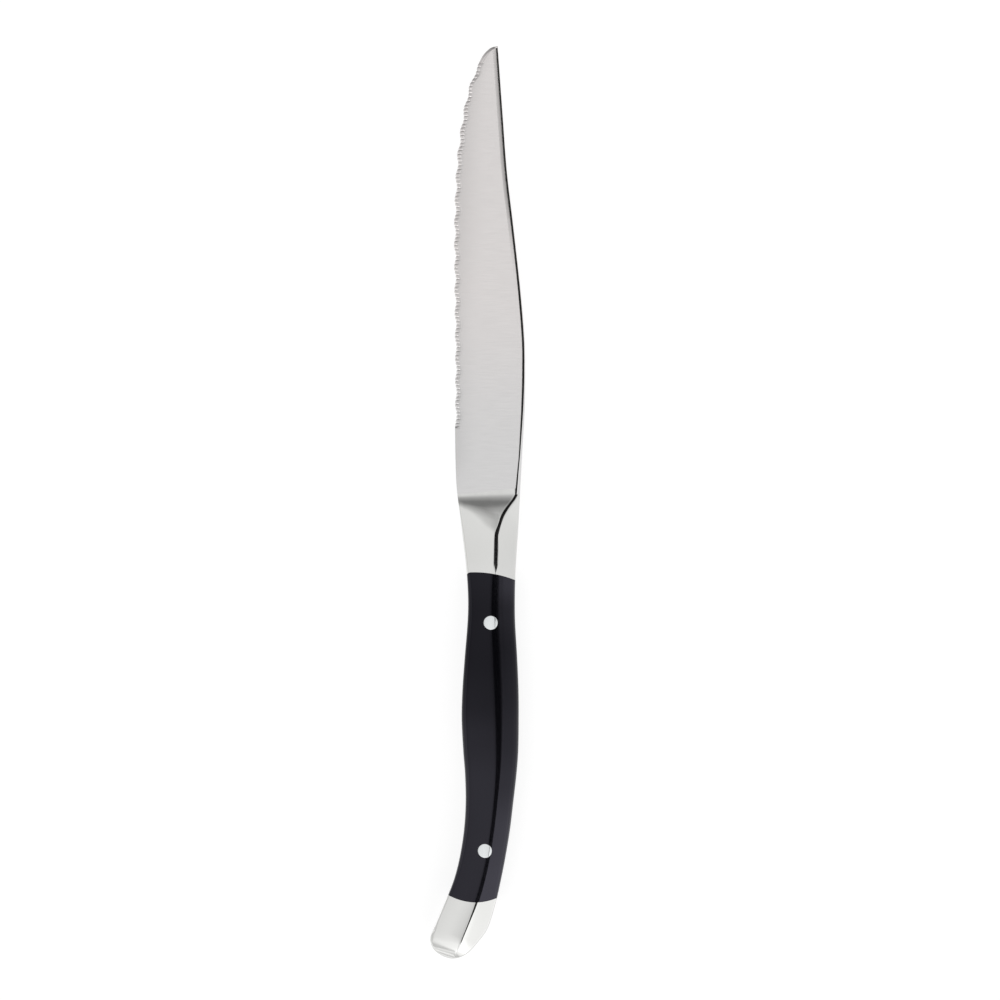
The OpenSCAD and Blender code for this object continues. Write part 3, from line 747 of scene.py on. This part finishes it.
outline_d = np.linspace(-3, GRIP_PLAN[BUTT_ROW][0] * GRIP_L, 900)
outline = np.concatenate([
    np.stack([grip_x(BELLY, outline_d), -outline_d], -1), butt_curve()[1:-1],
    np.stack([grip_x(BACK, outline_d), -outline_d], -1)[::-1]])


def inside_by(x, y, batch=4000):
    """Distance in from the outline of the grip."""
    p = np.stack([x.ravel(), y.ravel()], -1)
    a, b = outline[:-1], outline[1:]
    ab = b - a
    best = np.zeros(len(p))
    for i in range(0, len(p), batch):
        q = p[i:i + batch, None]
        t = np.clip(((q - a) * ab).sum(-1) / (ab**2).sum(-1), 0, 1)
        best[i:i + batch] = np.sqrt((((q - a) - t[..., None] * ab) ** 2).sum(-1)).min(1)
    return best.reshape(x.shape)


def eased_edge(z, away, radius, share=0.6):
    """Height with its outer edge rounded: away is the distance in from that edge. The radius
    takes up to a share of the height above the steel."""
    r = np.minimum(radius, share * np.maximum(z - STEEL_HALF, 0.01))
    t = np.clip(r - away, 0, None)
    return z - (r - np.sqrt(np.maximum(r * r - t * t, 0)))


def front_top(x, y):
    """Height of a front plate: two facets and the ramp, with a narrow flat between them."""
    a, b, _, ridge = facets(x, y, FRONT_BULGE)
    b = b - SPINE_SIDE_DROP
    # The ramp runs over into the facet more softly toward the ridge, and into the blade's face
    left = grip_x(BELLY, np.clip(-y, 0, GRIP_L))
    soft = (1 + np.clip((x - left) / (ridge - left), 0, 1)) / 2
    reach = RAMP_BLEND * soft * ease((y - BLEND_FROM) / BLEND_OVER) + BLEND_MIN
    top = least(a, ramp_z(x, y), reach)
    top = most(top, face_z(x, y) - TOE_DROP, TOE_BLEND)
    # The flat is narrower along the ramp, and ends in a point at the scales
    flat = (FLAT - RAMP_LOSS * ease((y - RAMP_LOSS_FROM) / RAMP_LOSS_OVER)
            - REAR_LOSS * ease((-y - REAR_LOSS_FROM) / REAR_LOSS_OVER))
    flat = flat * (1 - np.clip((-y - TAPER_FROM) / TAPER_OVER, 0, 1) ** TAPER_POWER)
    cut = FLAT_SHARE * top + (1 - FLAT_SHARE) * b - flat
    return least(least(top, cut, FLAT_BLEND), least(b, cut, FLAT_BLEND), RIDGE_BLEND)


# Polished stainless steel: a clear but slightly clouded mirror, so each facet takes one tone of
# the studio. The buff leaves patches of a few mm that are a little duller than others.
bolster_steel, tree, shader = new_material("polished stainless steel")
shader.inputs["Base Color"].default_value = linear("#dddddb")
shader.inputs["Metallic"].default_value = 1
gloss = add(tree, "MapRange", (grain(tree, 1.6, 2.2), *NOISE_SPAN, 0.08, 0.115),
            interpolation_type="SMOOTHSTEP")
tree.links.new(gloss.outputs[0], shader.inputs["Roughness"])

plan = plan_between(lambda x: foot(x) - LIP_L, lambda x: front_joint(x) + corner_gap(x),
                    crowd(FRONT_L, near=(0, 0.15), step=0.2, far=(0, 0.02, 0.06, 0.12)))
x, y = plan[..., 0], plan[..., 1]
# The lip ahead of the ramp's foot lies a hair inside the outline of the steel
x = x + LIP_IN * (COLUMNS[:, 0] - COLUMNS[:, 2]) * np.clip(y, 0, 1)
plan = np.stack([x, y], -1)
z = eased_edge(front_top(x, y), inside_by(x, y), FRONT_ROUND)
z = most(z, steel_top(x, y) - FEATHER, FLAT_BLEND)
base = np.where(-y > foot(x), STEEL_HALF, steel_top(x, y) - LIP_BASE)
base = np.minimum(base, z - LEAST_T)
for side, sign in SIDES.items():
    piece = mesh_piece("front_bolster_" + side,
                       closed(lift(plan, z * sign), lift(plan, base * sign)), bolster_steel)
    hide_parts("front_bolster_" + side)
    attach(piece, "root")


# Rear bolster plates
# Two plates of the same polished steel that cap the handle on both sides of the tang, held by two
# hidden dowels. They carry on the facets of the scales and are rounded down to the butt.
# Where the sides start to bend down to the butt, and the direction and arc in which they do
BEND_D = GRIP_L - 5.0
BEND_TURN = math.radians(21.85)
BEND_START, BEND_L, BEND_R = 0.6, 6.4, 6.5
REAR_ROUND, REAR_BULGE = 0.3, 0.1
# The fine line of the ridge: its size, what it loses toward the butt, and how it is rounded
LINE, LINE_LOSS, LINE_FROM, LINE_OVER = 0.07, 0.055, 103.5, 11
LINE_A_SHARE, LINE_BLEND = 0.6, 0.03


def butt_bend(x, y):
    """Share of the height that is left where the sides bend down to the butt."""
    way = (-(x - float(grip_x(RIDGE, BEND_D))) * math.sin(BEND_TURN)
           - (y + BEND_D) * math.cos(BEND_TURN))
    return np.sqrt(1 - (np.clip(way + BEND_START, 0, BEND_L) / BEND_R) ** 2)


def rear_top(x, y):
    """Height of a rear plate: two facets, and a ridge that is a fine line and runs out before
    the butt."""
    a, b = facets(x, y, REAR_BULGE)[:2]
    line = LINE - LINE_LOSS * np.clip((-y - LINE_FROM) / LINE_OVER, 0, 1)
    cut = LINE_A_SHARE * a + (1 - LINE_A_SHARE) * b - line
    top = least(least(a, cut, LINE_BLEND), least(b, cut, LINE_BLEND), RIDGE_BLEND)
    return STEEL_HALF + (top - STEEL_HALF) * butt_bend(x, y)


plan = plan_butt(rear_joint, crowd(
    REAR_L, near=(0, 0.02, 0.06, 0.12), step=0.25,
    far=(0, 0.02, 0.06, 0.1, 0.15, 0.21, 0.28, 0.36, 0.45, 0.55, 0.66, 0.78, 0.92)))
x, y = plan[..., 0], plan[..., 1]
z = eased_edge(rear_top(x, y), inside_by(x, y), REAR_ROUND)
base = np.full_like(z, STEEL_HALF)
for side, sign in SIDES.items():
    piece = mesh_piece("rear_bolster_" + side,
                       closed(lift(plan, z * sign), lift(plan, base * sign)), bolster_steel)
    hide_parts("rear_bolster_" + side)
    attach(piece, "root")


# Scales
# The two sides of the grip between the bolsters, moulded from black acetal plastic with
# arc-shaped ends. Each lies on the tang and is held by the two rivets.
# Length of a scale, and its gap to each bolster
SCALE_L = 84.8
JOINT_GAP = 0.03
# Distance from the blade, and the radius that softens the outline there
BOW_D = [19, 30, 60, 85, 106]
BOW_R = [0.9, 1.2, 1.5, 1.1, 0.7]
BOW_SHARE = 0.9
SCALE_BULGE = 0.08
# The flat of the ridge: how far it lies below the ridge's sharp line, its lean to the spine side
# and the reach of its rounds, each at the rear and with what it gains at the front
CREST_DROP, CREST_DROP_GAIN, CREST_LEAN = 0.035, 0.15, 0.05
CREST_BLEND, EDGE_SIDE_GAIN, SPINE_SIDE_GAIN = 0.06, 0.06, 0.24
FRONT_TO, FRONT_OVER = 46, 36


def scale_top(x, y):
    """Height of a scale: its ridge is soft and broad at the front and fine at the rear."""
    a, b, z, ridge = facets(x, y, SCALE_BULGE)
    front = 1 - ease((-y - FRONT_TO) / FRONT_OVER)
    crest = z - CREST_DROP - CREST_DROP_GAIN * front - CREST_LEAN * (x - ridge)
    top = least(a, crest, CREST_BLEND + EDGE_SIDE_GAIN * front)
    return least(top, b, CREST_BLEND + SPINE_SIDE_GAIN * front)


# Moulded acetal: deep black with a soft sheen and a skin that is slightly uneven in gloss. Its
# real grain, under 0.05 mm, is too fine to be seen here, so it is drawn 0.5 mm wide.
scale_black, tree, shader = new_material("black moulded acetal plastic")
shader.inputs["Base Color"].default_value = linear("#030305")
shader.inputs["IOR"].default_value = 1.42
shader.inputs["Specular Tint"].default_value = linear("#ebe8ff")
skin = grain(tree, 0.5, 0.8)
rough = add(tree, "MapRange", (skin, *NOISE_SPAN, 0.19, 0.23), interpolation_type="SMOOTHSTEP")
tree.links.new(rough.outputs[0], shader.inputs["Roughness"])
bump = add(tree, "Bump", {"Height": skin, "Strength": 0.2, "Distance": 1e-6})
tree.links.new(bump.outputs[0], shader.inputs["Normal"])

# Painted sheen by place: the specular level is raised toward the butt, most on the spine side, to
# paint the sheen that the studio's light leaves there.
# Rows are a distance from the blade and how strongly that side's painted sheen shows there.
EDGE_SIDE_PAINTED_SHEEN = [
    (20, 0.75), (30, 0.60), (42, 0.55), (52, 0.66), (62, 0.95), (73, 1.19), (86, 1.19),
    (100, 1.2)]
SPINE_SIDE_PAINTED_SHEEN = [
    (22, 1.55), (29, 0.90), (39, 0.66), (50, 0.76), (62, 0.95), (73, 1.2), (86, 1.80),
    (100, 2.0)]
MOST_PAINTED_SHEEN = 2.0
PAINTED_SHEEN_FROM, PAINTED_SHEEN_TO = 10, 110
# Keeps the ridge's x above zero in its table, and is the largest that the table can hold
RIDGE_SHIFT, RIDGE_MOST = 8, 20.0
RIDGE_SOFT = 0.6
PLAIN_LEVEL = 0.5
place = add(tree, "SeparateXYZ", (add(tree, "TexCoord").outputs["Object"],))
back_by = add(tree, "Math", (place.outputs["Y"], -1 / MM, -ORIGIN[1]), operation="MULTIPLY_ADD")
ridge_at = table_of(tree, back_by, [
    (d, float(grip_x(RIDGE, d)) - ORIGIN[0] + RIDGE_SHIFT) for d in range(15, 110, 5)],
    RIDGE_MOST, PAINTED_SHEEN_FROM, PAINTED_SHEEN_TO, "LINEAR")
shifted = add(tree, "Math", (place.outputs["X"], 1 / MM, RIDGE_SHIFT), operation="MULTIPLY_ADD")
beyond = add(tree, "Math", (shifted, ridge_at), operation="SUBTRACT")
# Painted sheen: each side's level by distance from the blade, mixed across the ridge, sets how
# strongly the black reflects
gloss = add(tree, "Mix", {
    0: add(tree, "MapRange", (beyond, -RIDGE_SOFT, RIDGE_SOFT),
           interpolation_type="SMOOTHSTEP"),
    2: table_of(tree, back_by, EDGE_SIDE_PAINTED_SHEEN, MOST_PAINTED_SHEEN, PAINTED_SHEEN_FROM, PAINTED_SHEEN_TO),
    3: table_of(tree, back_by, SPINE_SIDE_PAINTED_SHEEN, MOST_PAINTED_SHEEN, PAINTED_SHEEN_FROM, PAINTED_SHEEN_TO)})
painted_sheen = add(tree, "Math", (gloss, PLAIN_LEVEL), operation="MULTIPLY")
tree.links.new(painted_sheen.outputs[0], shader.inputs["Specular IOR Level"])

plan = plan_between(
    lambda x: front_joint(x) + JOINT_GAP + corner_gap(x), lambda x: rear_joint(x) - JOINT_GAP,
    crowd(SCALE_L, near=(0, 0.02, 0.05, 0.1)))
x, y = plan[..., 0], plan[..., 1]
z = eased_edge(scale_top(x, y), inside_by(x, y), np.interp(-y, BOW_D, BOW_R), BOW_SHARE)
base = np.full_like(z, STEEL_HALF)
for side, sign in SIDES.items():
    piece = mesh_piece("scale_" + side,
                       closed(lift(plan, z * sign), lift(plan, base * sign)), scale_black)
    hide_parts("scale_" + side)
    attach(piece, "root")


# Rivets
# Two press rivets of stainless steel, each a hollow half from the left and a post half from the
# right, pressed together through scales and tang. Their heads are sanded flush with the scales.
# Distance of each rivet from the blade, and how far it lies off the ridge
RIVETS = {"front": 32.05, "rear": 90.65}
RIVET_X = -1.05
# The head: its radius, the round of its rim and the height of its underside, then how far it
# stands out and how much it is domed. AXIS_R is a hair off the axis.
HEAD_R, HEAD_ROUND, HEAD_SEAT = 1.835, 0.12, 2.8
HEAD_PROUD, HEAD_DOME, HEAD_BLEND = 0.01, 0.05, 0.03
AXIS_R = 0.001
HEAD_RINGS = np.concatenate([np.linspace(AXIS_R, 1.7, 14), [1.75, 1.79, 1.815, 1.83, HEAD_R]])
TUBE_R, POST_R, SHANK_END, BORE_END = 1.3, 0.75, -2.5, 2.7
# Radius and height of each corner below the head, from the head's rim in to the axis
SHANKS = {
    "tube": [(HEAD_R, HEAD_SEAT), (TUBE_R, HEAD_SEAT), (TUBE_R, SHANK_END), (POST_R, SHANK_END),
             (POST_R, BORE_END), (AXIS_R, BORE_END)],
    "post": [(HEAD_R, HEAD_SEAT), (POST_R, HEAD_SEAT), (POST_R, SHANK_END), (AXIS_R, SHANK_END)]}


def ring(cx, cy, radius, n=96):
    """Points of a circle, with the first one again at the end."""
    t = np.linspace(0, 2 * math.pi, n + 1)
    return cx + radius * np.cos(t), cy + radius * np.sin(t)


# Polished rivet steel: the heads show as bright discs on the black. Sanding and buffing leave
# small scratches, which are drawn coarser here than real ones to show at all.
rivet_steel, tree, shader = new_material("polished rivet steel")
shader.inputs["Base Color"].default_value = linear("#e2e5e6")
shader.inputs["Metallic"].default_value = 1
scratched = add(tree, "MapRange", (grain(tree, 0.3, 0.9), *NOISE_SPAN, 0.11, 0.16),
                interpolation_type="SMOOTHSTEP")
tree.links.new(scratched.outputs[0], shader.inputs["Roughness"])

for end, d in RIVETS.items():
    cx, cy = float(grip_x(RIDGE, d)) + RIVET_X, -d
    for half, sign in (("tube", 1), ("post", -1)):
        rings = []
        for r in HEAD_RINGS:
            x, y = ring(cx, cy, r)
            a, b = facets(x, y, SCALE_BULGE)[:2]
            z = least(a, b, HEAD_BLEND) + HEAD_PROUD + HEAD_DOME * (1 - (r / HEAD_R) ** 2)
            past = max(r - (HEAD_R - HEAD_ROUND), 0)
            z = z - (HEAD_ROUND - math.sqrt(max(HEAD_ROUND**2 - past**2, 0)))
            rings.append(np.stack([x, y, z * sign], -1))
        for r, z in SHANKS[half]:
            x, y = ring(cx, cy, r)
            rings.append(np.stack([x, y, np.full_like(x, z * sign)], -1))
        name = f"{end}_rivet_{half}"
        piece = mesh_piece(name, [np.array(rings)], rivet_steel)
        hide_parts(name)
        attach(piece, "root")


# Dowels
# Four short pins of drawn stainless wire that key the bolster plates to the tang, in blind holes.
# Nothing of them shows, so they keep the shape that the CAD gives them.

# Drawn steel wire: dull grey, with fine lines from the die
dowel_steel, tree, shader = new_material("drawn steel wire")
shader.inputs["Base Color"].default_value = linear("#cbcbcb")
shader.inputs["Metallic"].default_value = 1
drawn = add(tree, "MapRange", (grain(tree, 0.2, 0.2), *NOISE_SPAN, 0.3, 0.42),
            interpolation_type="SMOOTHSTEP")
tree.links.new(drawn.outputs[0], shader.inputs["Roughness"])
for name in ("front_dowel_1", "front_dowel_2", "rear_dowel_1", "rear_dowel_2"):
    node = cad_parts[name]
    node.data.materials.clear()
    node.data.materials.append(dowel_steel)
